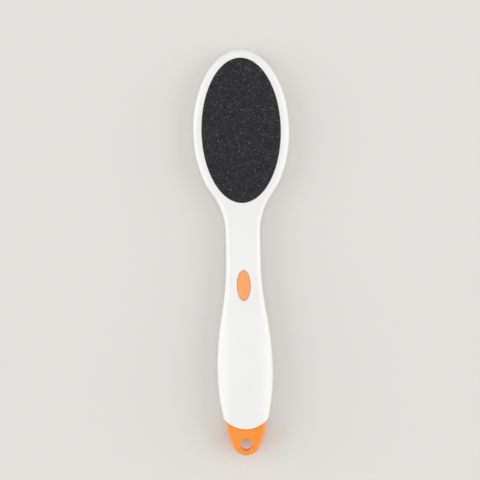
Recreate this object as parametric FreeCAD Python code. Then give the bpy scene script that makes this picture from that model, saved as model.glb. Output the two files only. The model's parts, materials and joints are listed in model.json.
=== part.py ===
"""Two-sided foot file.

A hollow paddle of two moulded half shells welded along a seam, with an oval abrasive disc stuck into a
recess on each face, an oval thumb inlay in each face of the handle, and an end cap with a hanging hole that
the shells trap.

Frame: +Z is up through the coarse face, +Y runs from the end cap to the head and X runs across.
The origin is under the middle of the file, on the surface that it lies on. Lengths are in millimetres.
The pieces are built about the parting plane, at Z = 0, and lifted by half the grip's thickness at the end.
"""

import FreeCAD
import Part
import math
import os

# Overall form of the white body
OVERALL_LENGTH = 211.0
HEAD_LENGTH = 84.2
HEAD_WIDTH = 50.0
HEAD_THICKNESS = 9.0
HEAD_EDGE_ROUND = 3.0
SHOULDER_RADIUS = 34.0
NECK_WIDTH = 17.9
NECK_STRAIGHT = 13.3
GRIP_WIDTH = 28.8
GRIP_THICKNESS = 14.0
GRIP_CROWN = 4.2
GRIP_EDGE_ROUND = 4.2
GRIP_FROM_TIP = 44.0
SHELL_END_WIDTH = 23.4
SHELL_END_THICKNESS = 11.4
SHELL_END_CROWN = 2.4
SHELL_END_EDGE_ROUND = 3.6
SHELL_END_BULGE = 5.5

# Shell walls, the chamfered seam at the parting plane and the ribs
WALL = 2.0
SEAM_CHAMFER = 0.25
SEAM_LAND = 0.1
INNER_ROUND = 0.4
RIB_THICKNESS = 1.2
RIB_CLEARANCE = 0.2

# Abrasive discs and their adhesive films
RIM_WIDTH = 4.55
RECESS_DEPTH = 0.8
RECESS_CLEARANCE = 0.2
RECESS_FLOOR = 1.6
ADHESIVE_THICKNESS = 0.15
ABRASIVE_THICKNESS = 1.0

# Thumb inlays
INLAY_LENGTH = 15.8
INLAY_WIDTH = 7.0
INLAY_FROM_NECK = 14.1
INLAY_RECESS = 0.35
INLAY_CLEARANCE = 0.1
INLAY_FLANGE_WIDTH = 1.3
INLAY_FLANGE_THICKNESS = 1.0
INLAY_SEAT_WALL = 1.0
INLAY_STEM_DIAMETER = 4.0
INLAY_STEM_GAP = 0.05

# End cap
CAP_LENGTH = 13.9
CAP_STEP = 1.5
CAP_SIDE_RADIUS = 34.0
CAP_END_RADIUS = 7.4
CAP_THICKNESS = 7.8
CAP_EDGE_ROUND = 1.8
CAP_GAP = 0.08
HANG_HOLE_DIAMETER = 6.2
HANG_HOLE_FROM_TIP = 5.8
HANG_HOLE_CHAMFER = 0.35
TONGUE_LENGTH = 14.0
TONGUE_WIDTH = 14.4
TONGUE_THICKNESS = 3.6
TONGUE_CORNER_RADIUS = 2.5
TONGUE_CLEARANCE = 0.15

# Locating pins of the front shell and their sockets in the rear shell
PIN_DIAMETER = 3.0
PIN_CLEARANCE = 0.08
PIN_LENGTH = 1.6
PIN_BOSS_WALL = 1.2
PIN_END_GAP = 0.2
TONGUE_PIN_SPACING = 8.0
TONGUE_PIN_FROM_END = 4.5

# Places given as shares of the piece that carries them
HEAD_RIB_ACROSS_SHARES = [-0.4, 0.4]
HEAD_RIB_ALONG_SHARES = [-0.6, 0.0, 0.6]
HEAD_PIN_SHARES = [(0.0, 0.6)]
GRIP_RIB_SHARES = [0.1, 0.37, 0.63, 0.9]

# Counts: spans of the handle's skin and hollow on each side of its widest place, the flat bands that make
# the rounded edges of the shells and of the end cap, and the halvings that find where a shoulder leaves the head
SKIN_SPANS = (9, 6)
HOLLOW_SPANS = (4, 2)
SHELL_ROUND_BANDS = 4
CAP_ROUND_BANDS = 3
SHOULDER_HALVINGS = 50

# How far cutting shapes run past what they cut
OVERRUN = 2.0


def vector(x, y, z=0.0):
    """Return a point or direction."""
    return FreeCAD.Vector(x, y, z)


def unit(direction):
    """Return a direction scaled to length one."""
    return direction.multiply(1.0 / direction.Length)


def s_curve(share):
    """Return a smooth rise from 0 to 1 made of two parabolic arcs."""
    if share < 0.5:
        return 2.0 * share ** 2
    return 1.0 - 2.0 * (1.0 - share) ** 2


def arc(centre, radius, start, end):
    """Return a circular edge about a centre, from one unit direction to another."""
    middle = unit(start + end)
    return Part.Arc(centre + start * radius, centre + middle * radius, centre + end * radius).toShape()


def flipped(edges):
    """Return edges turned over the file's middle plane, last first, to close a symmetrical outline."""
    return [edge.mirror(vector(0, 0), vector(1, 0)) for edge in reversed(edges)]


def prism(wire, bottom, top):
    """Return a flat wire drawn at Z = 0 as a solid between two heights."""
    face = Part.Face(wire)
    face.translate(vector(0, 0, bottom))
    return face.extrude(vector(0, 0, top - bottom))


def pillar(x, y, diameter, bottom, top):
    """Return an upright round bar between two heights."""
    return Part.makeCylinder(diameter / 2, top - bottom, vector(x, y, bottom))


def turned_over(shape):
    """Return a shape mirrored in the parting plane."""
    return shape.mirror(vector(0, 0, 0), vector(0, 0, 1))


def oval(length, width, centre_y, margin):
    """Return an ellipse with its long axis along Y, grown by a margin; its angle runs from +Y towards +X."""
    centre = vector(0, centre_y)
    return Part.Ellipse(centre + vector(0, length / 2 + margin), centre + vector(width / 2 + margin, 0), centre)


# Places along the file
HEAD_END_Y = OVERALL_LENGTH / 2
TIP_Y = -OVERALL_LENGTH / 2
HEAD_CENTRE_Y = HEAD_END_Y - HEAD_LENGTH / 2
GRIP_Y = TIP_Y + GRIP_FROM_TIP
SHELL_APEX_Y = TIP_Y + CAP_LENGTH
SHELL_END_Y = SHELL_APEX_Y + SHELL_END_BULGE
TONGUE_END_Y = SHELL_APEX_Y + TONGUE_LENGTH


def head_oval(margin):
    """Return the head's ellipse, grown by a margin."""
    return oval(HEAD_LENGTH, HEAD_WIDTH, HEAD_CENTRE_Y, margin)


def shoulder(inset):
    """Return the angle at which the right shoulder arc leaves the head's ellipse, and the arc's centre.

    The arc touches the ellipse and the side of the neck, so its centre lies one radius off both.
    """
    head = head_oval(-inset)
    low = math.pi / 2
    high = math.pi
    for _ in range(SHOULDER_HALVINGS):
        angle = (low + high) / 2
        centre = head.value(angle) - head.normal(angle) * (SHOULDER_RADIUS + inset)
        if centre.x > NECK_WIDTH / 2 + SHOULDER_RADIUS:
            low = angle
        else:
            high = angle
    return angle, centre


# Places in the neck and under the abrasive
NECK_Y = shoulder(0.0)[1].y - NECK_STRAIGHT
INLAY_Y = NECK_Y - INLAY_FROM_NECK
INLAY_SEAT_Z = HEAD_THICKNESS / 2 - WALL
RECESS_Z = HEAD_THICKNESS / 2 - RECESS_DEPTH


def head_outline(inset):
    """Return the closed outline of head, shoulders and neck, drawn in by an inset."""
    head = head_oval(-inset)
    angle, centre = shoulder(inset)
    half_neck = NECK_WIDTH / 2 - inset
    right = [
        Part.ArcOfEllipse(head, 0.0, angle).toShape(),
        arc(centre, SHOULDER_RADIUS + inset, head.normal(angle), vector(-1, 0)),
        Part.makeLine(vector(half_neck, centre.y), vector(half_neck, NECK_Y)),
    ]
    foot = Part.makeLine(vector(half_neck, NECK_Y), vector(-half_neck, NECK_Y))
    return Part.Wire(right + [foot] + flipped(right))


def round_levels(edge_round, top, bands):
    """Return inset and height of each step of an edge that is rounded in flat bands up to a top face."""
    levels = []
    for index in range(bands + 1):
        angle = math.pi / 2 * index / bands
        inset = edge_round * (1.0 - math.cos(angle))
        levels.append((inset, top - edge_round * (1.0 - math.sin(angle))))
    return levels


def head_half():
    """Return the upper half of the head and neck, rounded at the top and chamfered along the seam."""
    levels = [(SEAM_CHAMFER, 0.0), (0.0, SEAM_CHAMFER)]
    levels += round_levels(HEAD_EDGE_ROUND, HEAD_THICKNESS / 2, SHELL_ROUND_BANDS)
    stack = []
    for inset, z in levels:
        outline = head_outline(inset)
        outline.translate(vector(0, 0, z))
        stack.append(outline)
    return Part.makeLoft(stack, True, True)


def handle_profile(y):
    """Return half width, half thickness, crown and edge round of the handle at a place along it."""
    grip = (GRIP_WIDTH / 2, GRIP_THICKNESS / 2, GRIP_CROWN, GRIP_EDGE_ROUND)
    if y > GRIP_Y:
        other = (NECK_WIDTH / 2, HEAD_THICKNESS / 2, 0.0, HEAD_EDGE_ROUND)
        share = s_curve((NECK_Y - y) / (NECK_Y - GRIP_Y))
    else:
        other = (SHELL_END_WIDTH / 2, SHELL_END_THICKNESS / 2, SHELL_END_CROWN, SHELL_END_EDGE_ROUND)
        share = 1.0 - ((GRIP_Y - y) / (GRIP_Y - SHELL_END_Y)) ** 2
    return [first + (last - first) * share for first, last in zip(other, grip)]


def largest_round(half_width, half_height, crown):
    """Return the largest edge round that a section's side has room for above its seam chamfer and land."""
    lowest = SEAM_CHAMFER + SEAM_LAND
    if crown <= 0.0:
        return half_height - lowest
    crown_radius = (half_width ** 2 + crown ** 2) / (2 * crown)
    drop = crown_radius - half_height + lowest
    return (crown_radius + half_width - drop ** 2 / (crown_radius - half_width)) / 2


def handle_corner(y, inset, bands):
    """Return the rounded right edge of the handle's upper half section, from its crown to its flat side."""
    half_width, half_height, crown, edge_round = handle_profile(y)
    edge_round = min(edge_round, largest_round(half_width, half_height, crown))
    edge_round = max(edge_round - inset, INNER_ROUND)
    corner_x = half_width - inset - edge_round
    corner_z = half_height - inset - edge_round
    lean = 0.0
    if crown > 0.0:
        crown_radius = (half_width ** 2 + crown ** 2) / (2 * crown) - inset
        reach = crown_radius - edge_round
        corner_z += math.sqrt(reach ** 2 - corner_x ** 2) - reach
        lean = math.asin(corner_x / reach)
    corner = vector(corner_x, y, corner_z)
    points = []
    for index in range(bands + 1):
        angle = lean + (math.pi / 2 - lean) * index / bands
        points.append(corner + vector(math.sin(angle), 0, math.cos(angle)) * edge_round)
    return points


def handle_section(y):
    """Return the handle's upper half section: crowned top, rounded edges, flat sides and seam chamfer."""
    corner = handle_corner(y, 0.0, SHELL_ROUND_BANDS)
    crest = corner[0]
    foot = vector(corner[-1].x - SEAM_CHAMFER, y, 0.0)
    points = corner + [vector(corner[-1].x, y, SEAM_CHAMFER), foot]
    right = [Part.makeLine(start, end) for start, end in zip(points[:-1], points[1:])]
    crest_left = vector(-crest.x, y, crest.z)
    if handle_profile(y)[2] > 0.0:
        roof = Part.Arc(crest_left, vector(0, y, handle_profile(y)[1]), crest).toShape()
    else:
        roof = Part.makeLine(crest_left, crest)
    sole = Part.makeLine(foot, vector(-foot.x, y, 0.0))
    return Part.Wire([roof] + right + [sole] + flipped(right))


def handle_places(spans):
    """Return places along the handle, from the neck by way of its widest place to past the shells' end."""
    above, below = spans
    end_y = SHELL_APEX_Y - OVERRUN
    places = [NECK_Y + (GRIP_Y - NECK_Y) * index / above for index in range(above)]
    places += [GRIP_Y + (end_y - GRIP_Y) * index / below for index in range(below + 1)]
    return places


def body_half():
    """Return the upper half of the whole white body, solid, up to its curved end."""
    handle = Part.makeLoft([handle_section(y) for y in handle_places(SKIN_SPANS)], True, True)
    return head_half().fuse(handle).cut(beyond_shell_end(0.0)).Solids[0]


def beyond_shell_end(gap):
    """Return the space past the curved end of the shells, set off from it by a gap."""
    corner = SHELL_END_WIDTH / 2
    side = GRIP_WIDTH
    shallow = SHELL_END_Y - gap
    deep = SHELL_APEX_Y - gap
    far = TIP_Y - OVERRUN
    wire = Part.Wire([
        Part.makeLine(vector(-side, shallow), vector(-corner, shallow)),
        Part.Arc(vector(-corner, shallow), vector(0, deep), vector(corner, shallow)).toShape(),
        Part.makeLine(vector(corner, shallow), vector(side, shallow)),
        Part.makeLine(vector(side, shallow), vector(side, far)),
        Part.makeLine(vector(side, far), vector(-side, far)),
        Part.makeLine(vector(-side, far), vector(-side, shallow)),
    ])
    return prism(wire, -GRIP_THICKNESS, GRIP_THICKNESS)


def hollow_half():
    """Return the space inside the upper half of the body, shallower under the abrasive's recess."""
    sections = []
    for y in handle_places(HOLLOW_SPANS):
        crest, side = handle_corner(y, WALL, 1)
        right = [crest, side, vector(side.x, y, 0.0)]
        left = [vector(-point.x, y, point.z) for point in reversed(right)]
        sections.append(Part.makePolygon(right + left + [crest]))
    handle = Part.makeLoft(sections, True, True)
    head = prism(head_outline(WALL), 0.0, RECESS_Z - RECESS_FLOOR)
    return head.fuse(handle).Solids[0]


def grip_place(share):
    """Return a place along the clear part of the grip, from the inlay's seat to the end cap's tongue."""
    start = INLAY_Y - INLAY_LENGTH / 2 - INLAY_FLANGE_WIDTH - INLAY_SEAT_WALL
    return start + (TONGUE_END_Y - start) * share


def ribs():
    """Return the stiffening ribs of one shell, run long so that the hollow trims them."""
    half = RIB_THICKNESS / 2
    found = []
    for share in HEAD_RIB_ACROSS_SHARES:
        corner = vector(share * HEAD_WIDTH / 2 - half, NECK_Y, RIB_CLEARANCE)
        found.append(Part.makeBox(RIB_THICKNESS, HEAD_END_Y - NECK_Y, GRIP_THICKNESS, corner))
    places = [HEAD_CENTRE_Y + share * HEAD_LENGTH / 2 for share in HEAD_RIB_ALONG_SHARES]
    places += [grip_place(share) for share in GRIP_RIB_SHARES]
    for y in places:
        corner = vector(-HEAD_WIDTH / 2, y - half, RIB_CLEARANCE)
        found.append(Part.makeBox(HEAD_WIDTH, RIB_THICKNESS, GRIP_THICKNESS, corner))
    return found


def pin_places():
    """Return x, y and seat height of every locating pin; the last two go through the end cap's tongue."""
    places = []
    for across, along in HEAD_PIN_SHARES:
        places.append((across * HEAD_WIDTH / 2, HEAD_CENTRE_Y + along * HEAD_LENGTH / 2, 0.0))
    for side in (-1, 1):
        places.append((side * TONGUE_PIN_SPACING / 2, TONGUE_END_Y - TONGUE_PIN_FROM_END, TONGUE_THICKNESS / 2))
    return places


def bosses(clearance):
    """Return the square bosses that carry pins or sockets; those away from the tongue keep a clearance."""
    side = PIN_DIAMETER + 2 * PIN_BOSS_WALL
    found = []
    for x, y, seat in pin_places():
        corner = vector(x - side / 2, y - side / 2, max(seat, clearance))
        found.append(Part.makeBox(side, side, GRIP_THICKNESS, corner))
    return found


def tongue_slot():
    """Return the slot for the end cap's tongue in one shell, which touches its face and clears its sides."""
    half_width = TONGUE_WIDTH / 2 + TONGUE_CLEARANCE
    start = SHELL_APEX_Y - OVERRUN
    run = TONGUE_END_Y + TONGUE_CLEARANCE - start
    return Part.makeBox(2 * half_width, run, TONGUE_THICKNESS / 2, vector(-half_width, start, 0.0))


def inlay_wire(margin):
    """Return the thumb inlay's oval, grown by a margin."""
    return Part.Wire([oval(INLAY_LENGTH, INLAY_WIDTH, INLAY_Y, margin).toShape()])


def pad_wire(margin):
    """Return the abrasive disc's oval, which keeps an even rim inside the head, grown by a margin."""
    return Part.Wire([head_oval(margin - RIM_WIDTH).toShape()])


def shell_half(boss_clearance):
    """Return one shell as an upper half: hollow, ribbed, with bosses, recess, inlay window and tongue slot."""
    seat = prism(inlay_wire(INLAY_FLANGE_WIDTH + INLAY_SEAT_WALL), INLAY_SEAT_Z, GRIP_THICKNESS)
    hollow = hollow_half().cut(ribs() + bosses(boss_clearance) + [seat])
    window = prism(inlay_wire(INLAY_CLEARANCE), 0.0, GRIP_THICKNESS)
    recess = prism(pad_wire(RECESS_CLEARANCE), RECESS_Z, GRIP_THICKNESS)
    return body_half().cut([hollow, tongue_slot(), window, recess])


def front_shell():
    """Return the front shell with its locating pins."""
    pins = []
    for x, y, seat in pin_places():
        pins.append(pillar(x, y, PIN_DIAMETER, -seat - PIN_LENGTH, seat + PIN_BOSS_WALL))
    return shell_half(0.0).fuse(pins).Solids[0]


def rear_shell():
    """Return the rear shell with the sockets that take the pins."""
    sockets = []
    for x, y, seat in pin_places():
        diameter = PIN_DIAMETER + 2 * PIN_CLEARANCE
        sockets.append(pillar(x, y, diameter, -PIN_LENGTH, seat + PIN_LENGTH + PIN_END_GAP))
    return turned_over(shell_half(RIB_CLEARANCE).cut(sockets).Solids[0])


def cap_outline(inset, z):
    """Return the end cap's outline at a height: a round end that runs into two long side arcs."""
    shoulder = vector(SHELL_END_WIDTH / 2 - CAP_STEP, SHELL_END_Y)
    end_centre = vector(0, TIP_Y + CAP_END_RADIUS)
    reach = CAP_SIDE_RADIUS - CAP_END_RADIUS
    distance = (shoulder - end_centre).Length
    along = (reach ** 2 - CAP_SIDE_RADIUS ** 2 + distance ** 2) / (2 * distance)
    aside = math.sqrt(reach ** 2 - along ** 2)
    span = unit(shoulder - end_centre)
    side_centre = end_centre + span * along + vector(-span.y, span.x) * aside
    start = unit(shoulder - side_centre)
    touch = unit(end_centre - side_centre)
    right = [arc(side_centre, CAP_SIDE_RADIUS - inset, start, touch)]
    end = arc(end_centre, CAP_END_RADIUS - inset, touch, vector(-touch.x, touch.y))
    corner = side_centre + start * (CAP_SIDE_RADIUS - inset)
    top = Part.makeLine(vector(-corner.x, corner.y), corner)
    wire = Part.Wire([top] + right + [end] + flipped(right))
    wire.translate(vector(0, 0, z))
    return wire


def cap_tip():
    """Return the end cap's visible tip, rounded along its edges, with its chamfered hanging hole."""
    levels = round_levels(CAP_EDGE_ROUND, CAP_THICKNESS / 2, CAP_ROUND_BANDS)
    stack = [cap_outline(inset, -z) for inset, z in reversed(levels)]
    stack += [cap_outline(inset, z) for inset, z in levels]
    tip = Part.makeLoft(stack, True, True).common(beyond_shell_end(CAP_GAP)).Solids[0]
    hole_y = TIP_Y + HANG_HOLE_FROM_TIP
    hole = pillar(0, hole_y, HANG_HOLE_DIAMETER, -CAP_THICKNESS, CAP_THICKNESS)
    inner = HANG_HOLE_DIAMETER / 2
    outer = inner + HANG_HOLE_CHAMFER
    mouths = []
    for side in (-1, 1):
        start = vector(0, hole_y, side * CAP_THICKNESS / 2)
        mouths.append(Part.makeCone(outer, inner, HANG_HOLE_CHAMFER, start, vector(0, 0, -side)))
    return tip.cut([hole] + mouths)


def end_cap():
    """Return the end cap: the tip and the tongue that the shells trap on two pins."""
    tongue = Part.makeBox(
        TONGUE_WIDTH,
        TONGUE_LENGTH + OVERRUN,
        TONGUE_THICKNESS,
        vector(-TONGUE_WIDTH / 2, SHELL_APEX_Y - OVERRUN, -TONGUE_THICKNESS / 2),
    )
    corners = []
    for edge in tongue.Edges:
        box = edge.BoundBox
        if box.ZLength > TONGUE_THICKNESS / 2 and box.YMin > SHELL_APEX_Y:
            corners.append(edge)
    tongue = tongue.makeFillet(TONGUE_CORNER_RADIUS, corners)
    holes = []
    for x, y, seat in pin_places():
        if seat > 0.0:
            holes.append(pillar(x, y, PIN_DIAMETER + 2 * PIN_CLEARANCE, -TONGUE_THICKNESS, TONGUE_THICKNESS))
    return cap_tip().fuse(tongue).cut(holes).Solids[0]


def thumb_inlay():
    """Return the front thumb inlay: a plug that follows the handle's slope, on a flange and a stem."""
    upper_y = INLAY_Y + INLAY_LENGTH / 2
    lower_y = INLAY_Y - INLAY_LENGTH / 2
    upper_z = handle_profile(upper_y)[1] - INLAY_RECESS
    lower_z = handle_profile(lower_y)[1] - INLAY_RECESS
    side = Part.Face(Part.makePolygon([
        vector(-INLAY_WIDTH, upper_y, INLAY_SEAT_Z),
        vector(-INLAY_WIDTH, upper_y, upper_z),
        vector(-INLAY_WIDTH, lower_y, lower_z),
        vector(-INLAY_WIDTH, lower_y, INLAY_SEAT_Z),
        vector(-INLAY_WIDTH, upper_y, INLAY_SEAT_Z),
    ]))
    wedge = side.extrude(vector(2 * INLAY_WIDTH, 0, 0))
    plug = prism(inlay_wire(0.0), INLAY_SEAT_Z, GRIP_THICKNESS).common(wedge)
    flange = prism(inlay_wire(INLAY_FLANGE_WIDTH), INLAY_SEAT_Z - INLAY_FLANGE_THICKNESS, INLAY_SEAT_Z)
    stem = pillar(0, INLAY_Y, INLAY_STEM_DIAMETER, INLAY_STEM_GAP / 2, INLAY_SEAT_Z)
    return plug.fuse([flange, stem]).Solids[0]


def adhesive_film():
    """Return the adhesive film of the front disc."""
    return prism(pad_wire(0.0), RECESS_Z, RECESS_Z + ADHESIVE_THICKNESS)


def abrasive_disc():
    """Return the front abrasive disc, standing a little proud of the rim."""
    bottom = RECESS_Z + ADHESIVE_THICKNESS
    return prism(pad_wire(0.0), bottom, bottom + ABRASIVE_THICKNESS)


def main():
    """Build every piece, lift it onto the ground and write it."""
    os.makedirs("parts", exist_ok=True)
    inlay = thumb_inlay()
    film = adhesive_film()
    disc = abrasive_disc()
    pieces = {
        "front_shell": front_shell(),
        "rear_shell": rear_shell(),
        "end_cap": end_cap(),
        "front_thumb_inlay": inlay,
        "rear_thumb_inlay": turned_over(inlay),
        "coarse_abrasive": disc,
        "coarse_adhesive": film,
        "fine_abrasive": turned_over(disc),
        "fine_adhesive": turned_over(film),
    }
    for name, shape in pieces.items():
        shape.translate(vector(0, 0, GRIP_THICKNESS / 2))
        shape.exportStep(os.path.join("parts", name + ".step"))


main()
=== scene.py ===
"""Looks of a two-sided foot file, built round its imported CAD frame.

The white half shells, the orange end cap and the thumb inlays are refined copies of their CAD meshes,
with broken edges and weighted normals. The two abrasive pads are new: a die-cut sheet with a resin bed,
and on it a scatter of crystal grains. Everything is in metres, in the frame of the CAD.
"""

import json
import logging
import math
from abc import ABC, abstractmethod
from collections.abc import Callable
from dataclasses import dataclass
from enum import Enum

import bmesh
import bpy
from mathutils import Matrix, Vector

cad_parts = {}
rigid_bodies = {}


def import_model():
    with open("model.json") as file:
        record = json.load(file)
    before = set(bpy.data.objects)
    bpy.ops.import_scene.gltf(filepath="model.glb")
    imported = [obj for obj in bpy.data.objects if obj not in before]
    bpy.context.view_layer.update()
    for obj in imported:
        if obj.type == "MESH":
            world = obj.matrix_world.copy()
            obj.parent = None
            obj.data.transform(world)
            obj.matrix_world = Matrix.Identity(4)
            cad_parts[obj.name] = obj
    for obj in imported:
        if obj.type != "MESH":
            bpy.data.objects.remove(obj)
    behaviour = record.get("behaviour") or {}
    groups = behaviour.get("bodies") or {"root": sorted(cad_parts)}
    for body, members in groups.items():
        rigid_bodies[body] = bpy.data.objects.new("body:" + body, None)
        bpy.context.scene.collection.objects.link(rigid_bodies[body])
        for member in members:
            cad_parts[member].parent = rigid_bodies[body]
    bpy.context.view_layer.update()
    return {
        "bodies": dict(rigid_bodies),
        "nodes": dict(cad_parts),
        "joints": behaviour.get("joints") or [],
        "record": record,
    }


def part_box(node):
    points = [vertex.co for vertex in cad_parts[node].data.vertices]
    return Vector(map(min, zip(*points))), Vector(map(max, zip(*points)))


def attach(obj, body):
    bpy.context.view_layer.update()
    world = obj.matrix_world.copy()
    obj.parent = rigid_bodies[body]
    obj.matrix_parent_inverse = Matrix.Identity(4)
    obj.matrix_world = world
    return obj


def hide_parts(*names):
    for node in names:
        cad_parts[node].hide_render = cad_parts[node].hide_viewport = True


LOG = logging.getLogger("foot_file")
MM = 0.001

# Height of the plane where the two half shells meet.
PARTING_PLANE = 7.0 * MM

# A face looks along an axis if its normal has at least this share of it, and stands upright below the other.
FACING_SHARE = 0.9
UPRIGHT_SHARE = 0.1

# Noise values mostly lie between these two.
NOISE_RANGE = (0.3, 0.7)

# Octaves of finer noise in a texture, from a smooth one to a broken one.
SMOOTH_DETAIL = 1.0
LIGHT_DETAIL = 2.0
RICH_DETAIL = 3.0
BROKEN_DETAIL = 4.0

# Places of a random node's least value, greatest value and result, by the kind of value.
RANDOM_SOCKETS = {"FLOAT_VECTOR": (0, 1, 0), "FLOAT": (2, 3, 1), "INT": (4, 5, 2)}

Triple = tuple[float, float, float]
Colour = Triple
Range = tuple[float, float]
EdgeTest = Callable[[bmesh.types.BMEdge], bool]
FaceTest = Callable[[bmesh.types.BMFace], bool]


class Grade(Enum):
    """Which of the two abrasives a pad carries."""

    COARSE = "coarse"
    FINE = "fine"


class Half(Enum):
    """Which half of the body a piece belongs to; the value is the way that it faces along Z."""

    FRONT = 1
    REAR = -1

    @property
    def label(self) -> str:
        """Name of the half as the CAD nodes write it."""
        return self.name.lower()


class Bench:
    """Hand tools: selection, edit mode, bevels and modifiers, for one mesh at a time."""

    MERGE_GAP = 0.001 * MM
    FLAT_ANGLE = math.radians(0.3)
    ROUND_PROFILE = 0.5
    NORMAL_WEIGHT = 60

    @staticmethod
    def pick(piece: bpy.types.Object) -> None:
        """Leave edit mode and select one piece alone.

        Args:
            piece: The object to make active.
        """
        active = bpy.context.view_layer.objects.active
        if active is not None and active.mode != "OBJECT":
            bpy.ops.object.mode_set(mode="OBJECT")
        bpy.ops.object.select_all(action="DESELECT")
        bpy.context.view_layer.objects.active = piece
        piece.select_set(True)

    @staticmethod
    def select_edges(piece: bpy.types.Object, wanted: EdgeTest) -> int:
        """Enter edit mode and select edges by place or normal.

        Args:
            piece: The mesh object to edit.
            wanted: Tells whether an edge is to be selected.

        Returns:
            How many edges are selected.
        """
        Bench.pick(piece)
        bpy.ops.object.mode_set(mode="EDIT")
        bpy.ops.mesh.select_mode(type="EDGE")
        bpy.ops.mesh.select_all(action="DESELECT")
        mesh = bmesh.from_edit_mesh(piece.data)
        found = [edge for edge in mesh.edges if wanted(edge)]
        for edge in found:
            edge.select_set(True)
        bmesh.update_edit_mesh(piece.data)
        return len(found)

    @staticmethod
    def select_faces(piece: bpy.types.Object, wanted: FaceTest) -> int:
        """Enter edit mode and select faces by place or normal.

        Args:
            piece: The mesh object to edit.
            wanted: Tells whether a face is to be selected.

        Returns:
            How many faces are selected.
        """
        Bench.pick(piece)
        bpy.ops.object.mode_set(mode="EDIT")
        bpy.ops.mesh.select_mode(type="FACE")
        bpy.ops.mesh.select_all(action="DESELECT")
        mesh = bmesh.from_edit_mesh(piece.data)
        found = [face for face in mesh.faces if wanted(face)]
        for face in found:
            face.select_set(True)
        bmesh.update_edit_mesh(piece.data)
        return len(found)

    @staticmethod
    def break_edges(piece: bpy.types.Object, wanted: EdgeTest, width: float, segments: int) -> int:
        """Round off chosen edges.

        Args:
            piece: The mesh object to edit.
            wanted: Tells whether an edge is to be rounded.
            width: How far the round reaches from the edge.
            segments: Steps of the round.

        Returns:
            How many edges were rounded.
        """
        count = Bench.select_edges(piece, wanted)
        if count:
            bpy.ops.mesh.bevel(
                offset=width, segments=segments, profile=Bench.ROUND_PROFILE,
                affect="EDGES", clamp_overlap=True,
            )
        bpy.ops.object.mode_set(mode="OBJECT")
        return count

    @staticmethod
    def merged_copy(node: bpy.types.Object, name: str) -> bpy.types.Object:
        """Copy a CAD node, join its loose triangles and clear the flat ones into whole faces.

        Args:
            node: The CAD object to copy.
            name: Name of the new piece.

        Returns:
            The new piece.
        """
        piece = bpy.data.objects.new(name, node.data.copy())
        bpy.context.scene.collection.objects.link(piece)
        Bench.pick(piece)
        bpy.ops.mesh.customdata_custom_splitnormals_clear()
        bpy.ops.object.mode_set(mode="EDIT")
        bpy.ops.mesh.select_all(action="SELECT")
        bpy.ops.mesh.remove_doubles(threshold=Bench.MERGE_GAP)
        bpy.ops.mesh.dissolve_limited(angle_limit=Bench.FLAT_ANGLE)
        bpy.ops.object.mode_set(mode="OBJECT")
        return piece

    @staticmethod
    def smooth(piece: bpy.types.Object, angle: float) -> None:
        """Shade a piece smooth up to an angle, with its large faces keeping their own normals.

        Args:
            piece: The mesh object to shade.
            angle: Edges sharper than this stay sharp, in degrees.
        """
        Bench.pick(piece)
        bpy.ops.object.shade_smooth_by_angle(angle=math.radians(angle))
        Bench.modifier(piece, "WEIGHTED_NORMAL", weight=Bench.NORMAL_WEIGHT, keep_sharp=True)

    @staticmethod
    def modifier(piece: bpy.types.Object, kind: str, **settings: object) -> None:
        """Add a modifier, set it and apply it.

        Args:
            piece: The mesh object to work on.
            kind: Type of the modifier.
            settings: Properties of the modifier.
        """
        Bench.pick(piece)
        bpy.ops.object.modifier_add(type=kind)
        added = piece.modifiers[-1]
        for key, value in settings.items():
            setattr(added, key, value)
        bpy.ops.object.modifier_apply(modifier=added.name)

    @staticmethod
    def triangles(piece: bpy.types.Object) -> int:
        """Return how many triangles a piece comes to."""
        return sum(len(face.vertices) - 2 for face in piece.data.polygons)


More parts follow.
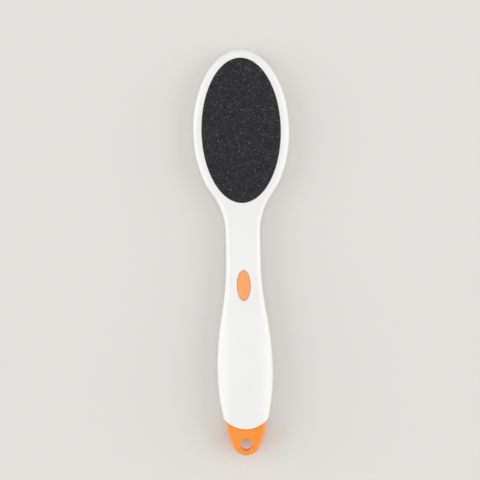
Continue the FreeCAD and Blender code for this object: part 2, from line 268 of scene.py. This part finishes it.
class NodeSheet:
    """A material or group under construction, with short calls for its nodes and links."""

    def __init__(self, tree: bpy.types.NodeTree) -> None:
        """Start on an emptied node tree.

        Args:
            tree: The tree to work on.
        """
        self.tree = tree
        self.tree.nodes.clear()

    def add(self, kind: str, **settings: object) -> bpy.types.Node:
        """Add a node and set its properties.

        Args:
            kind: The node's type name.
            settings: Properties to set on it.

        Returns:
            The new node.
        """
        node = self.tree.nodes.new(kind)
        for key, value in settings.items():
            setattr(node, key, value)
        return node

    def feed(self, socket: bpy.types.NodeSocket, value: object) -> None:
        """Link another node's output to an input, or set the input to a constant.

        Args:
            socket: The input.
            value: An output socket or a constant; a colour may come without its alpha.
        """
        if isinstance(value, bpy.types.NodeSocket):
            self.tree.links.new(value, socket)
        elif socket.type == "RGBA" and len(value) == 3:
            socket.default_value = (*value, 1.0)
        else:
            socket.default_value = value

    def put(self, node: bpy.types.Node, **values: object) -> bpy.types.Node:
        """Set or link inputs of a node, named with underscores for spaces.

        Args:
            node: The node to feed.
            values: Constants or output sockets for its inputs.

        Returns:
            The same node.
        """
        for key, value in values.items():
            self.feed(node.inputs[key.replace("_", " ")], value)
        return node

    def maths(self, operation: str, first: object, second: object) -> bpy.types.NodeSocket:
        """Combine two values.

        Args:
            operation: Name of the operation.
            first: A constant or a socket.
            second: A constant or a socket.

        Returns:
            The result's socket.
        """
        node = self.add("ShaderNodeMath", operation=operation)
        self.feed(node.inputs[0], first)
        self.feed(node.inputs[1], second)
        return node.outputs[0]

    def noise(self, place: bpy.types.NodeSocket, scale: object, detail: float) -> bpy.types.NodeSocket:
        """Add a noise texture.

        Args:
            place: Where it is read.
            scale: A constant or a socket; features are about one over this in size, in metres.
            detail: Octaves of finer noise.

        Returns:
            The socket of the noise's value.
        """
        node = self.put(self.add("ShaderNodeTexNoise"), Vector=place, Scale=scale, Detail=detail)
        return node.outputs[0]

    def remap(
        self, value: bpy.types.NodeSocket, old: Range, low: object, high: object,
    ) -> bpy.types.NodeSocket:
        """Stretch a value from one range to another.

        Args:
            value: The socket to read.
            old: Range that it has.
            low: Least value that it gets, a constant or a socket.
            high: Greatest value that it gets, a constant or a socket.

        Returns:
            The result's socket.
        """
        node = self.add("ShaderNodeMapRange")
        self.put(node, Value=value, From_Min=old[0], From_Max=old[1], To_Min=low, To_Max=high)
        return node.outputs["Result"]

    def blend(self, factor: object, first: object, second: object) -> bpy.types.NodeSocket:
        """Mix two colours.

        Args:
            factor: Share of the second colour.
            first: A colour or a socket.
            second: A colour or a socket.

        Returns:
            The mixed colour's socket.
        """
        node = self.add("ShaderNodeMix", data_type="RGBA")
        colours = [socket for socket in node.inputs if socket.type == "RGBA"]
        self.feed(node.inputs["Factor"], factor)
        self.feed(colours[0], first)
        self.feed(colours[1], second)
        return next(socket for socket in node.outputs if socket.type == "RGBA")


class Effects:
    """Shader node groups that several finishes share, each built once."""

    WAVE_SCALE = 260.0
    DRIFT_SCALE = 45.0
    SPECK_SCALE = 2600.0
    SPECK_RANGE = (0.55, 0.8)
    PATCH_SCALE = 85.0
    SCUFF_SCALE = 1400.0
    PATCH_SHARE = 0.6

    @staticmethod
    def _start(
        name: str, inputs: dict[str, str], output: tuple[str, str],
    ) -> tuple[NodeSheet, bpy.types.Node, bpy.types.Node]:
        """Make an empty group with named sockets.

        Args:
            name: The group's name.
            inputs: Socket names and types that it takes.
            output: Socket name and type that it gives.

        Returns:
            The sheet, the group's input node and its output node.
        """
        tree = bpy.data.node_groups.new(name, "ShaderNodeTree")
        for label, kind in inputs.items():
            tree.interface.new_socket(label, in_out="INPUT", socket_type=kind)
        tree.interface.new_socket(output[0], in_out="OUTPUT", socket_type=output[1])
        sheet = NodeSheet(tree)
        return sheet, sheet.add("NodeGroupInput"), sheet.add("NodeGroupOutput")

    @staticmethod
    def mould_grain() -> bpy.types.NodeTree:
        """Build the fine spark texture that a mould leaves, over a faint unevenness of the skin.

        Returns:
            The group, which gives a height for a bump.
        """
        name = "mould_grain"
        if name in bpy.data.node_groups:
            return bpy.data.node_groups[name]
        inputs = {"Vector": "NodeSocketVector", "Fineness": "NodeSocketFloat", "Waviness": "NodeSocketFloat"}
        sheet, source, sink = Effects._start(name, inputs, ("Height", "NodeSocketFloat"))
        place = source.outputs["Vector"]
        spark = sheet.noise(place, source.outputs["Fineness"], LIGHT_DETAIL)
        wave = sheet.noise(place, Effects.WAVE_SCALE, SMOOTH_DETAIL)
        swell = sheet.maths("MULTIPLY", wave, source.outputs["Waviness"])
        sheet.put(sink, Height=sheet.maths("ADD", spark, swell))
        return sheet.tree

    @staticmethod
    def tone_drift() -> bpy.types.NodeTree:
        """Build the slow drift of a pigment's tone, with fine specks.

        Returns:
            The group, which gives a colour.
        """
        name = "tone_drift"
        if name in bpy.data.node_groups:
            return bpy.data.node_groups[name]
        inputs = {
            "Vector": "NodeSocketVector",
            "Light": "NodeSocketColor",
            "Deep": "NodeSocketColor",
            "Speck": "NodeSocketFloat",
        }
        sheet, source, sink = Effects._start(name, inputs, ("Color", "NodeSocketColor"))
        place = source.outputs["Vector"]
        slow = sheet.noise(place, Effects.DRIFT_SCALE, RICH_DETAIL)
        fine = sheet.noise(place, Effects.SPECK_SCALE, SMOOTH_DETAIL)
        drift = sheet.remap(slow, NOISE_RANGE, 0.0, 1.0)
        specks = sheet.remap(fine, Effects.SPECK_RANGE, 0.0, 1.0)
        specks = sheet.maths("MULTIPLY", specks, source.outputs["Speck"])
        share = sheet.maths("ADD", drift, specks)
        sheet.put(sink, Color=sheet.blend(share, source.outputs["Light"], source.outputs["Deep"]))
        return sheet.tree

    @staticmethod
    def gloss_patch() -> bpy.types.NodeTree:
        """Build a roughness that varies in soft patches and fine scuffs between two limits.

        Returns:
            The group, which gives a roughness.
        """
        name = "gloss_patch"
        if name in bpy.data.node_groups:
            return bpy.data.node_groups[name]
        inputs = {"Vector": "NodeSocketVector", "Low": "NodeSocketFloat", "High": "NodeSocketFloat"}
        sheet, source, sink = Effects._start(name, inputs, ("Roughness", "NodeSocketFloat"))
        place = source.outputs["Vector"]
        slow = sheet.noise(place, Effects.PATCH_SCALE, BROKEN_DETAIL)
        fine = sheet.noise(place, Effects.SCUFF_SCALE, LIGHT_DETAIL)
        soft = sheet.maths("MULTIPLY", slow, Effects.PATCH_SHARE)
        scuff = sheet.maths("MULTIPLY", fine, 1.0 - Effects.PATCH_SHARE)
        share = sheet.maths("ADD", soft, scuff)
        rough = sheet.remap(share, NOISE_RANGE, source.outputs["Low"], source.outputs["High"])
        sheet.put(sink, Roughness=rough)
        return sheet.tree


@dataclass(frozen=True)
class Finish(ABC):
    """A surface finish that becomes one material, made on first use."""

    name: str

    def material(self) -> bpy.types.Material:
        """Make the finish's material, or find it where it is made already.

        Returns:
            The material.
        """
        if self.name in bpy.data.materials:
            return bpy.data.materials[self.name]
        material = bpy.data.materials.new(self.name)
        material.use_nodes = True
        sheet = NodeSheet(material.node_tree)
        shader = self._shade(sheet, sheet.add("ShaderNodeTexCoord").outputs["Object"])
        sheet.put(sheet.add("ShaderNodeOutputMaterial"), Surface=shader.outputs[0])
        return material

    @abstractmethod
    def _shade(self, sheet: NodeSheet, place: bpy.types.NodeSocket) -> bpy.types.Node:
        """Build the nodes up to the shader.

        Args:
            sheet: The material's sheet.
            place: The socket of the object's coordinates.

        Returns:
            The shader node.
        """


@dataclass(frozen=True)
class MouldedPlastic(Finish):
    """Finish of a moulded plastic piece: pigment, gloss and the texture that the mould leaves."""

    light: Colour
    deep: Colour
    gloss: Range
    speck: float
    fineness: float
    grain_depth: float
    waviness: float
    sheen: float = 0.0

    def _shade(self, sheet: NodeSheet, place: bpy.types.NodeSocket) -> bpy.types.Node:
        """Join pigment, gloss and mould grain into one shader.

        Args:
            sheet: The material's sheet.
            place: The socket of the object's coordinates.

        Returns:
            The shader node.
        """
        tone = sheet.put(
            sheet.add("ShaderNodeGroup", node_tree=Effects.tone_drift()),
            Vector=place, Light=self.light, Deep=self.deep, Speck=self.speck,
        )
        gloss = sheet.put(
            sheet.add("ShaderNodeGroup", node_tree=Effects.gloss_patch()),
            Vector=place, Low=self.gloss[0], High=self.gloss[1],
        )
        grain = sheet.put(
            sheet.add("ShaderNodeGroup", node_tree=Effects.mould_grain()),
            Vector=place, Fineness=self.fineness, Waviness=self.waviness,
        )
        bump = sheet.put(
            sheet.add("ShaderNodeBump"),
            Height=grain.outputs["Height"], Distance=self.grain_depth, Strength=1.0,
        )
        return sheet.put(
            sheet.add("ShaderNodeBsdfPrincipled"),
            Base_Color=tone.outputs["Color"], Roughness=gloss.outputs["Roughness"],
            Normal=bump.outputs["Normal"], Sheen_Weight=self.sheen,
        )


@dataclass(frozen=True)
class GritCoating(Finish):
    """Finish of abrasive grains: dark crystal with a few bright ones, each grain of one tone."""

    dark: Colour
    pale: Colour
    gloss: Range
    index: float = 1.42
    tone_power: float = 5.0
    chip_scale: float = 5200.0
    chip_depth: float = 0.02 * MM
    chip_shade: Range = (0.5, 1.0)
    clump_scale: float = 600.0
    clump_shade: Range = (0.2, 1.8)

    def _shade(self, sheet: NodeSheet, place: bpy.types.NodeSocket) -> bpy.types.Node:
        """Give each grain its own tone, chipped finely and a little lighter or darker in clumps.

        Args:
            sheet: The material's sheet.
            place: The socket of the object's coordinates.

        Returns:
            The shader node.
        """
        tone = sheet.add("ShaderNodeAttribute", attribute_name="grain_tone").outputs["Fac"]
        chips = sheet.noise(place, self.chip_scale, LIGHT_DETAIL)
        clumps = sheet.noise(place, self.clump_scale, LIGHT_DETAIL)
        share = sheet.maths("POWER", tone, self.tone_power)
        share = sheet.maths("MULTIPLY", share, sheet.remap(chips, NOISE_RANGE, *self.chip_shade))
        share = sheet.maths("MULTIPLY", share, sheet.remap(clumps, NOISE_RANGE, *self.clump_shade))
        bump = sheet.put(sheet.add("ShaderNodeBump"), Height=chips, Distance=self.chip_depth, Strength=1.0)
        return sheet.put(
            sheet.add("ShaderNodeBsdfPrincipled"),
            Base_Color=sheet.blend(share, self.dark, self.pale),
            Roughness=sheet.remap(tone, (0.0, 1.0), *self.gloss),
            Normal=bump.outputs["Normal"], IOR=self.index,
        )


@dataclass(frozen=True)
class ResinBed(Finish):
    """Finish of the resin that holds the grains, and of the sheet's cut edge."""

    light: Colour
    deep: Colour
    gloss: Range = (0.45, 0.8)
    index: float = 1.42
    cell_scale: float = 3400.0
    cell_range: Range = (0.0, 0.7)
    lump_scale: float = 1800.0
    lump_range: Range = (0.35, 0.65)
    depth: float = 0.12 * MM

    def _shade(self, sheet: NodeSheet, place: bpy.types.NodeSocket) -> bpy.types.Node:
        """Cover the bed with buried grains and lumps of resin.

        Args:
            sheet: The material's sheet.
            place: The socket of the object's coordinates.

        Returns:
            The shader node.
        """
        cells = sheet.put(sheet.add("ShaderNodeTexVoronoi"), Vector=place, Scale=self.cell_scale)
        lumps = sheet.noise(place, self.lump_scale, RICH_DETAIL)
        height = sheet.maths("ADD", cells.outputs["Distance"], lumps)
        bump = sheet.put(sheet.add("ShaderNodeBump"), Height=height, Distance=self.depth, Strength=1.0)
        share = sheet.remap(lumps, self.lump_range, 0.0, 1.0)
        return sheet.put(
            sheet.add("ShaderNodeBsdfPrincipled"),
            Base_Color=sheet.blend(share, self.deep, self.light),
            Roughness=sheet.remap(cells.outputs["Distance"], self.cell_range, *self.gloss),
            Normal=bump.outputs["Normal"], IOR=self.index,
        )


@dataclass(frozen=True)
class StudioPaint(Finish):
    """Finish of the floor: a plain pale matt paint whose tone drifts a little."""

    light: Colour
    deep: Colour
    gloss: Range = (0.75, 0.85)
    drift_scale: float = 3.0
    specular: float = 0.2

    def _shade(self, sheet: NodeSheet, place: bpy.types.NodeSocket) -> bpy.types.Node:
        """Let tone and roughness drift together over the floor.

        Args:
            sheet: The material's sheet.
            place: The socket of the object's coordinates.

        Returns:
            The shader node.
        """
        slow = sheet.noise(place, self.drift_scale, RICH_DETAIL)
        return sheet.put(
            sheet.add("ShaderNodeBsdfPrincipled"),
            Base_Color=sheet.blend(slow, self.light, self.deep),
            Roughness=sheet.remap(slow, NOISE_RANGE, *self.gloss),
            Specular_IOR_Level=self.specular,
        )


WHITE = MouldedPlastic(
    name="white_shell", light=(0.872, 0.872, 0.862), deep=(0.845, 0.845, 0.838), gloss=(0.27, 0.36),
    speck=0.25, fineness=3200.0, grain_depth=0.006 * MM, waviness=1.2,
)
ORANGE = MouldedPlastic(
    name="orange_cap", light=(0.985, 0.305, 0.034), deep=(0.95, 0.268, 0.027), gloss=(0.36, 0.48),
    speck=0.35, fineness=2600.0, grain_depth=0.012 * MM, waviness=0.8,
)
# Orange of the thumb inlays. It is the cap's orange plus a painted haze of reflected light, which makes it
# lighter than the cap; the sheen weight is a real shader sheen.
INLAY_ORANGE_PAINTED_HAZE = MouldedPlastic(
    name="peach_inlay", light=(0.99, 0.39, 0.145), deep=(0.97, 0.355, 0.125), gloss=(0.5, 0.62),
    speck=0.4, fineness=3000.0, grain_depth=0.014 * MM, waviness=0.5, sheen=0.1,
)
ADHESIVE = MouldedPlastic(
    name="adhesive_film", light=(0.66, 0.62, 0.5), deep=(0.58, 0.54, 0.43), gloss=(0.3, 0.5),
    speck=0.3, fineness=1500.0, grain_depth=0.02 * MM, waviness=1.0,
)
COARSE_GRAIN = GritCoating(
    name="coarse_grain", dark=(0.0135, 0.0137, 0.0163), pale=(0.21, 0.213, 0.234), gloss=(0.3, 0.5),
)
FINE_GRAIN = GritCoating(
    name="fine_grain", dark=(0.045, 0.045, 0.049), pale=(0.22, 0.22, 0.23), gloss=(0.35, 0.55),
)
COARSE_RESIN = ResinBed(name="coarse_resin", light=(0.027, 0.0275, 0.031), deep=(0.0128, 0.013, 0.0153))
FINE_RESIN = ResinBed(name="fine_resin", light=(0.05, 0.05, 0.054), deep=(0.03, 0.03, 0.033))
FLOOR = StudioPaint(name="studio_floor", light=(0.76, 0.745, 0.712), deep=(0.735, 0.72, 0.688))


@dataclass
class HalfShell:
    """One white moulded half of the hollow body."""

    half: Half
    rim_round: float = 0.16 * MM
    rim_steps: int = 2
    end_round: float = 0.35 * MM
    end_steps: int = 3
    end_share: float = 0.5
    end_angle: float = 30.0
    skin_margin: float = 0.1 * MM
    smooth_angle: float = 34.0
    piece: bpy.types.Object | None = None

    @property
    def node(self) -> str:
        """Name of the CAD shell that the piece stands for."""
        return self.half.label + "_shell"

    def build(self, frame: dict) -> None:
        """Copy the shell and break the edges that a mould would leave round.
        """
        self.piece = Bench.merged_copy(frame["nodes"][self.node], self.node + "_skin")
        rim = Bench.break_edges(self.piece, self._is_rim, self.rim_round, self.rim_steps)
        end = Bench.break_edges(self.piece, self._is_end, self.end_round, self.end_steps)
        Bench.smooth(self.piece, self.smooth_angle)
        LOG.info("%s: %d rim and window edges, %d end edges", self.piece.name, rim, end)

    def _is_rim(self, edge: bmesh.types.BMEdge) -> bool:
        """Tell whether an edge runs round the abrasive's recess or the inlay's window on the outer face.

        Args:
            edge: The edge to judge.

        Returns:
            True where a face that looks outward meets an upright wall, on the outer skin.
        """
        if len(edge.link_faces) != 2 or not edge.is_convex:
            return False
        outward = [face.normal.z * self.half.value for face in edge.link_faces]
        upright = abs(min(outward)) < UPRIGHT_SHARE
        return max(outward) > FACING_SHARE and upright and self._on_outside(edge)

    def _is_end(self, edge: bmesh.types.BMEdge) -> bool:
        """Tell whether an edge runs round the shell's open end on its outer skin.

        Args:
            edge: The edge to judge.

        Returns:
            True where just one of its faces is the upright end and the edge is sharp.
        """
        if len(edge.link_faces) != 2 or not edge.is_convex:
            return False
        ends = [face for face in edge.link_faces if -face.normal.y > self.end_share]
        walls = [face for face in ends if abs(face.normal.z) < UPRIGHT_SHARE / 2]
        sharp = edge.calc_face_angle(0.0) > math.radians(self.end_angle)
        return len(walls) == 1 and sharp and self._on_outside(edge)

    def _on_outside(self, edge: bmesh.types.BMEdge) -> bool:
        """Return whether an edge lies clear of the seam, on its own half's side."""
        middle = (edge.verts[0].co + edge.verts[1].co) / 2
        return (middle.z - PARTING_PLANE) * self.half.value > self.skin_margin

    def dress(self) -> None:
        """Give the shell its finish and place in the assembly."""
        finish_piece(self.piece, WHITE.material(), self.node)


@dataclass
class EndCap:
    """The orange end cap with its hanging hole."""

    node: str = "end_cap"
    smooth_angle: float = 40.0
    piece: bpy.types.Object | None = None

    def build(self, frame: dict) -> None:
        """Copy the cap and shade its banded rounds smooth.
        """
        self.piece = Bench.merged_copy(frame["nodes"][self.node], self.node + "_skin")
        Bench.smooth(self.piece, self.smooth_angle)
        LOG.info("%s: %d triangles", self.piece.name, Bench.triangles(self.piece))

    def dress(self) -> None:
        """Give the cap its finish and place in the assembly."""
        finish_piece(self.piece, ORANGE.material(), self.node)


@dataclass
class ThumbInlay:
    """One oval thumb inlay in the handle."""

    half: Half
    edge_round: float = 0.25 * MM
    edge_steps: int = 3
    flange_height: float = 3.4 * MM
    smooth_angle: float = 34.0
    piece: bpy.types.Object | None = None

    @property
    def node(self) -> str:
        """Name of the CAD inlay that the piece stands for."""
        return self.half.label + "_thumb_inlay"

    def build(self, frame: dict) -> None:
        """Copy the inlay and round the edge of its face.
        """
        self.piece = Bench.merged_copy(frame["nodes"][self.node], self.node + "_skin")
        count = Bench.break_edges(self.piece, self._is_face_edge, self.edge_round, self.edge_steps)
        Bench.smooth(self.piece, self.smooth_angle)
        LOG.info("%s: %d face edges", self.piece.name, count)

    def _is_face_edge(self, edge: bmesh.types.BMEdge) -> bool:
        """Tell whether an edge bounds the face that shows, above the flange inside the shell.

        Args:
            edge: The edge to judge.

        Returns:
            True where the face that shows meets the inlay's upright wall.
        """
        if len(edge.link_faces) != 2 or not edge.is_convex:
            return False
        outward = [face.normal.z * self.half.value for face in edge.link_faces]
        middle = (edge.verts[0].co + edge.verts[1].co) / 2
        above = (middle.z - PARTING_PLANE) * self.half.value > self.flange_height
        return max(outward) > FACING_SHARE and abs(min(outward)) < UPRIGHT_SHARE and above

    def dress(self) -> None:
        """Give the inlay its finish and place in the assembly."""
        # The inlay's lighter orange carries a painted haze of reflected light over the cap's orange.
        finish_piece(self.piece, INLAY_ORANGE_PAINTED_HAZE.material(), self.node)


@dataclass
class AbrasivePad:
    """One oval abrasive pad: die-cut sheet, resin bed and grains.

    Shares are of the grain's size. The chip plane knocks one shoulder off each crystal.
    """

    half: Half
    grade: Grade
    grain: GritCoating
    resin: ResinBed
    grain_size: float
    spacing: float
    seed: int
    bed_drop: float
    edge_ring: float = 0.15 * MM
    edge_fall: float = 0.05 * MM
    bare_edge: float = 0.25 * MM
    crystal_sides: tuple[int, ...] = (3, 4, 5)
    foot_share: float = 0.52
    tip_share: float = 0.18
    height_share: float = 0.8
    flatness: float = 0.88
    chip_point_shares: Triple = (0.16, 0.0, 0.1)
    chip_normal: Triple = (0.75, 0.3, 0.6)
    size_range: Range = (0.65, 1.2)
    crowding: float = 4.0
    piece: bpy.types.Object | None = None

    @property
    def node(self) -> str:
        """Name of the CAD disc that the pad stands for."""
        return self.grade.value + "_abrasive"

    def build(self, frame: dict) -> None:
        """Lower the disc to its resin bed, round its cut edge over, then scatter and join the grains.
        """
        self.piece = Bench.merged_copy(frame["nodes"][self.node], self.grade.value + "_pad")
        Bench.select_faces(self.piece, self._is_face)
        drop = self.bed_drop + self.edge_fall
        bpy.ops.transform.translate(value=(0.0, 0.0, -self.half.value * drop))
        bpy.ops.mesh.inset(thickness=self.edge_ring, depth=self.edge_fall)
        bpy.ops.mesh.inset(thickness=self.bare_edge, depth=0.0)
        grains = self._scatter()
        self.piece.data.materials.clear()
        self.piece.data.materials.append(self.resin.material())
        grains.data.materials.clear()
        grains.data.materials.append(self.grain.material())
        Bench.pick(self.piece)
        bpy.ops.object.shade_flat()
        grains.select_set(True)
        bpy.ops.object.join()
        LOG.info("%s: %d triangles", self.piece.name, Bench.triangles(self.piece))

    def _is_face(self, face: bmesh.types.BMFace) -> bool:
        """Return whether a face of the disc is the one that files."""
        return face.normal.z * self.half.value > FACING_SHARE

    def _scatter(self) -> bpy.types.Object:
        """Copy the bed, which is the selection in edit mode, into an object of its own and scatter crystals
        over it.

        Returns:
            The grains as one mesh object.
        """
        bpy.ops.mesh.duplicate()
        bpy.ops.mesh.separate(type="SELECTED")
        bpy.ops.object.mode_set(mode="OBJECT")
        bed = next(piece for piece in bpy.context.selected_objects if piece is not self.piece)
        bed.name = self.grade.value + "_grains"
        crystals = [self._crystal(sides) for sides in self.crystal_sides]
        scatter = bed.modifiers.new("grit", "NODES")
        scatter.node_group = self._scatter_tree(crystals)
        Bench.pick(bed)
        bpy.ops.object.modifier_apply(modifier=scatter.name)
        for crystal in crystals:
            bpy.data.objects.remove(crystal)
        return bed

    def _crystal(self, sides: int) -> bpy.types.Object:
        """Model one crystal: a squashed pyramid with its tip gone and one shoulder knocked off.

        Args:
            sides: Sides of the pyramid.

        Returns:
            The crystal, at the origin.
        """
        bpy.ops.object.select_all(action="DESELECT")
        bpy.ops.mesh.primitive_cone_add(
            vertices=sides, depth=self.grain_size * self.height_share,
            radius1=self.grain_size * self.foot_share, radius2=self.grain_size * self.tip_share,
        )
        crystal = bpy.context.object
        crystal.name = f"{self.grade.value}_crystal_{sides}"
        bpy.ops.object.mode_set(mode="EDIT")
        bpy.ops.mesh.select_all(action="SELECT")
        bpy.ops.transform.resize(value=(1.0, self.flatness, 1.0))
        point = tuple(self.grain_size * share for share in self.chip_point_shares)
        bpy.ops.mesh.bisect(plane_co=point, plane_no=self.chip_normal, use_fill=True, clear_outer=True)
        bpy.ops.object.mode_set(mode="OBJECT")
        return crystal

    def _random(
        self, sheet: NodeSheet, kind: str, limits: tuple[object, object], step: int,
    ) -> bpy.types.NodeSocket:
        """Add a random value for each point, from a fixed seed.

        Args:
            sheet: The node tree's sheet.
            kind: Type of the value.
            limits: Its least and greatest value.
            step: What is added to the pad's seed.

        Returns:
            The value's socket.
        """
        least, greatest, result = RANDOM_SOCKETS[kind]
        node = sheet.add("FunctionNodeRandomValue", data_type=kind)
        node.inputs[least].default_value = limits[0]
        node.inputs[greatest].default_value = limits[1]
        node.inputs["Seed"].default_value = self.seed + step
        return node.outputs[result]

    def _scatter_tree(self, crystals: list[bpy.types.Object]) -> bpy.types.NodeTree:
        """Build the node tree that sets crystals on a face, turned and sized at random from a fixed seed.

        Args:
            crystals: The shapes to choose from.

        Returns:
            The node tree.
        """
        tree = bpy.data.node_groups.new(self.grade.value + "_scatter", "GeometryNodeTree")
        tree.interface.new_socket("Geometry", in_out="INPUT", socket_type="NodeSocketGeometry")
        tree.interface.new_socket("Geometry", in_out="OUTPUT", socket_type="NodeSocketGeometry")
        sheet = NodeSheet(tree)
        source = sheet.add("NodeGroupInput")
        sink = sheet.add("NodeGroupOutput")
        points = sheet.put(
            sheet.add("GeometryNodeDistributePointsOnFaces", distribute_method="POISSON"),
            Mesh=source.outputs[0], Distance_Min=self.spacing,
            Density_Max=self.crowding / self.spacing ** 2, Seed=self.seed,
        )
        shapes = sheet.add("GeometryNodeJoinGeometry")
        for crystal in crystals:
            shape = sheet.put(sheet.add("GeometryNodeObjectInfo"), Object=crystal, As_Instance=True)
            sheet.put(shapes, Geometry=shape.outputs["Geometry"])
        full_turn = (math.tau, math.tau, math.tau)
        choice = self._random(sheet, "INT", (0, len(crystals) - 1), 1)
        turn = self._random(sheet, "FLOAT_VECTOR", ((0.0, 0.0, 0.0), full_turn), 2)
        size = self._random(sheet, "FLOAT", self.size_range, 3)
        tone = self._random(sheet, "FLOAT", (0.0, 1.0), 4)
        spread = sheet.put(
            sheet.add("GeometryNodeInstanceOnPoints"),
            Points=points.outputs["Points"], Instance=shapes.outputs[0], Pick_Instance=True,
            Instance_Index=choice, Rotation=turn, Scale=size,
        )
        store = sheet.add("GeometryNodeStoreNamedAttribute", data_type="FLOAT", domain="INSTANCE")
        sheet.put(store, Geometry=spread.outputs[0], Name="grain_tone", Value=tone)
        real = sheet.put(sheet.add("GeometryNodeRealizeInstances"), Geometry=store.outputs[0])
        sheet.put(sink, Geometry=real.outputs[0])
        return tree

    def dress(self) -> None:
        """Place the pad in the assembly; its two finishes are set as it is built."""
        finish_piece(self.piece, None, self.node)


@dataclass(frozen=True)
class Lamp:
    """A large soft light at a bearing from +Y, a height above the floor and an angular spread, in degrees."""

    name: str
    bearing: float
    height: float
    strength: float
    spread: float

    def build(self) -> None:
        """Hang the lamp so that it faces the file.

        A sun lamp's light is the same everywhere, so only its direction counts.
        """
        turn = math.radians(self.bearing)
        lift = math.radians(self.height)
        level = math.cos(lift)
        towards = Vector((math.sin(turn) * level, math.cos(turn) * level, math.sin(lift)))
        bpy.ops.object.light_add(type="SUN", location=towards)
        lamp = bpy.context.object
        lamp.name = self.name
        lamp.rotation_euler = (-towards).to_track_quat("-Z", "Y").to_euler()
        lamp.data.energy = self.strength
        lamp.data.angle = math.radians(self.spread)


@dataclass
class Studio:
    """Floor, light and camera.

    The pixel is the photograph's scale, and lean and offset are the file's turn and place in it.
    """

    pixel: float = 0.52 * MM
    image: int = 480
    lens: float = 135.0
    sensor: float = 36.0
    lean: float = 0.975
    offset: Range = (3.2, -12.5)
    focus_height: float = 9.0 * MM
    clip: Range = (0.01, 20.0)
    floor_size: float = 6.0
    floor_gap: float = 0.05 * MM
    belly: float = -55.0 * MM
    fill: float = 0.74
    backdrop: Colour = (0.78, 0.765, 0.735)
    lamps: tuple[Lamp, ...] = (
        Lamp("side_left", bearing=-90.0, height=20.0, strength=1.28, spread=60.0),
        Lamp("side_right", bearing=90.0, height=20.0, strength=1.28, spread=60.0),
    )

    def build(self) -> None:
        """Set the floor, the lamps, the world and the camera.

        Colours are shown as they are written, with no film curve over them.
        """
        self._floor()
        for lamp in self.lamps:
            lamp.build()
        self._world()
        self._camera()
        bpy.context.scene.view_settings.view_transform = "Standard"

    def _floor(self) -> None:
        """Lay the floor under the grip's belly and the far end of the lower pad.

        The file comes to rest on these two places, so the floor is tipped to touch both.
        """
        low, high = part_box("fine_abrasive")
        slope = math.atan2(low.z, high.y - self.belly)
        bpy.ops.object.select_all(action="DESELECT")
        bpy.ops.mesh.primitive_plane_add(size=self.floor_size)
        floor = bpy.context.object
        floor.name = "floor"
        drop = Matrix.Translation((0.0, 0.0, -self.floor_gap - self.belly * math.tan(slope)))
        floor.data.transform(drop @ Matrix.Rotation(slope, 4, "X"))
        floor.data.materials.append(FLOOR.material())

    def _world(self) -> None:
        """Fill the shadows from all round, and show a pale backdrop to the camera.

        Reflections see the backdrop too, so that gloss stays as soft as the room.
        """
        world = bpy.data.worlds.new("studio")
        bpy.context.scene.world = world
        world.use_nodes = True
        sheet = NodeSheet(world.node_tree)
        light = sheet.add("ShaderNodeLightPath")
        seen = sheet.maths("MAXIMUM", light.outputs["Is Camera Ray"], light.outputs["Is Glossy Ray"])
        seen = sheet.maths("MAXIMUM", seen, light.outputs["Is Transmission Ray"])
        fill = sheet.put(sheet.add("ShaderNodeBackground"), Color=(1.0, 1.0, 1.0), Strength=self.fill)
        back = sheet.put(sheet.add("ShaderNodeBackground"), Color=self.backdrop, Strength=1.0)
        mix = sheet.add("ShaderNodeMixShader")
        for socket, value in zip(mix.inputs, (seen, fill.outputs[0], back.outputs[0])):
            sheet.feed(socket, value)
        sheet.put(sheet.add("ShaderNodeOutputWorld"), Surface=mix.outputs[0])

    def _camera(self) -> None:
        """Look straight down on the file, framed and turned as in the photograph.

        The long lens keeps the head and the grip at one scale.
        """
        turn = math.radians(self.lean)
        right = Vector((math.cos(turn), -math.sin(turn), 0.0))
        up = Vector((math.sin(turn), math.cos(turn), 0.0))
        centre = -(right * self.offset[0] + up * self.offset[1]) * self.pixel
        distance = self.image * self.pixel * self.lens / self.sensor
        bpy.ops.object.camera_add(location=centre + Vector((0.0, 0.0, distance + self.focus_height)))
        camera = bpy.context.object
        camera.name = "camera"
        camera.rotation_euler = (0.0, 0.0, -turn)
        camera.data.lens = self.lens
        camera.data.sensor_width = self.sensor
        camera.data.clip_start = self.clip[0]
        camera.data.clip_end = self.clip[1]
        bpy.context.scene.camera = camera


def finish_piece(piece: bpy.types.Object, material: bpy.types.Material | None, node: str) -> None:
    """Dress a finished piece and seat it in the assembly.

    Args:
        piece: The piece.
        material: Its finish, or None where it has its own already.
        node: The CAD node that it stands for.
    """
    if material is not None:
        piece.data.materials.clear()
        piece.data.materials.append(material)
    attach(piece, "root")
    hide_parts(node)


def dress_films(frame: dict) -> None:
    """Give the adhesive films, whose CAD shape stays, their finish.
    """
    for grade in Grade:
        film = frame["nodes"][grade.value + "_adhesive"]
        film.material_slots[0].material = ADHESIVE.material()
        LOG.info("%s: finish set", film.name)


def main() -> None:
    """Build the file round its frame.
    """
    logging.basicConfig(level=logging.INFO, format="%(name)s: %(message)s")
    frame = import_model()
    parts = [
        HalfShell(Half.FRONT),
        HalfShell(Half.REAR),
        EndCap(),
        ThumbInlay(Half.FRONT),
        ThumbInlay(Half.REAR),
        AbrasivePad(
            Half.FRONT, Grade.COARSE, COARSE_GRAIN, COARSE_RESIN,
            grain_size=0.52 * MM, spacing=0.35 * MM, seed=11, bed_drop=0.28 * MM,
        ),
        AbrasivePad(
            Half.REAR, Grade.FINE, FINE_GRAIN, FINE_RESIN,
            grain_size=0.4 * MM, spacing=0.35 * MM, seed=23, bed_drop=0.2 * MM,
        ),
    ]
    for part in parts:
        part.build(frame)
        part.dress()
        LOG.info("%s is in place", part.piece.name)
    dress_films(frame)
    Studio().build()


if __name__ == "__main__":
    main()
